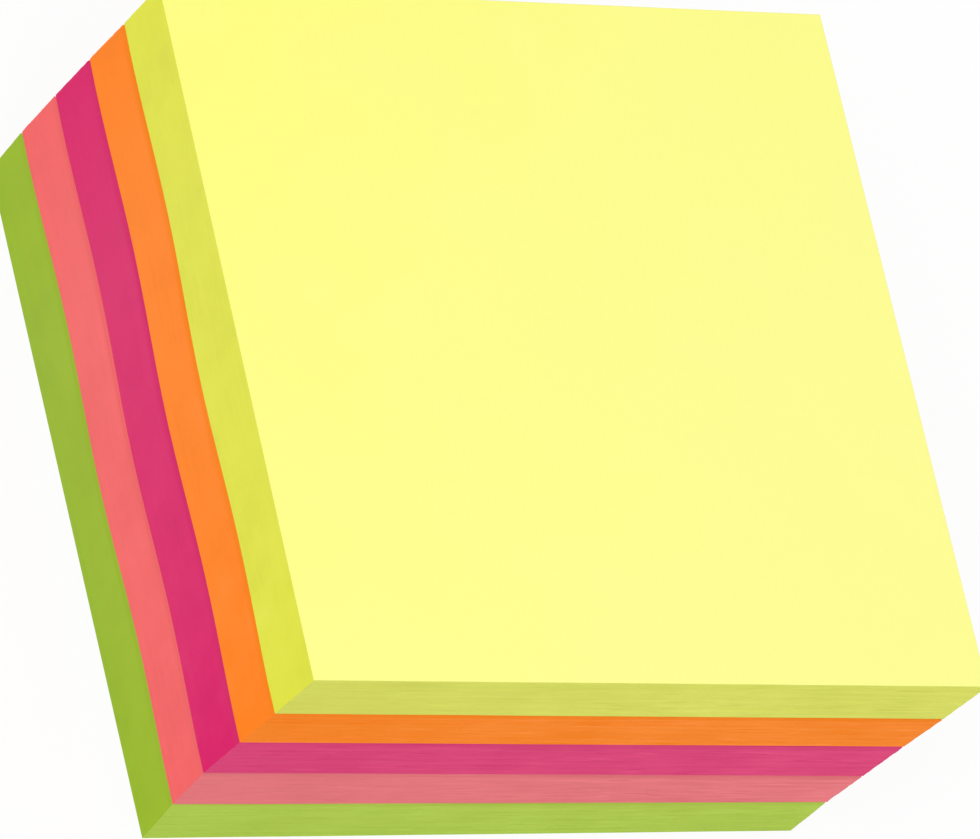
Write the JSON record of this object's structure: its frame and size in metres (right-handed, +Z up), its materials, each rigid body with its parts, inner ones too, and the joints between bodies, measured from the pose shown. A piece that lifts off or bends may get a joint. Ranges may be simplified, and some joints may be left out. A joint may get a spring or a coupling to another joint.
{
  "type": "sticky note pad",
  "caption": "Square pad of self-stick paper notes in stacked colour blocks, gummed along one edge and free on the other three.",
  "frame": {"origin": "middle of the pad's bounding box, on the surface that the pad lies on", "axes": "+Z up through the stack, +X from the gummed edge to the free edge, +Y along the gummed edge to the back"},
  "size_m": [0.077, 0.0772, 0.0384],
  "materials": {
    "yellow_paper": "matte uncoated yellow paper, dyed through, cut edges showing the sheets",
    "orange_paper": "matte uncoated orange paper, dyed through, cut edges showing the sheets",
    "magenta_paper": "matte uncoated magenta paper, dyed through, cut edges showing the sheets",
    "salmon_paper": "matte uncoated salmon paper, dyed through, cut edges showing the sheets",
    "green_paper": "matte uncoated green paper, dyed through, cut edges showing the sheets"
  },
  "bodies": {
    "root": {"yellow_notes": "yellow_paper", "orange_notes": "orange_paper", "magenta_notes": "magenta_paper", "salmon_notes": "salmon_paper", "green_notes": "green_paper"}
  },
  "joints": []
}
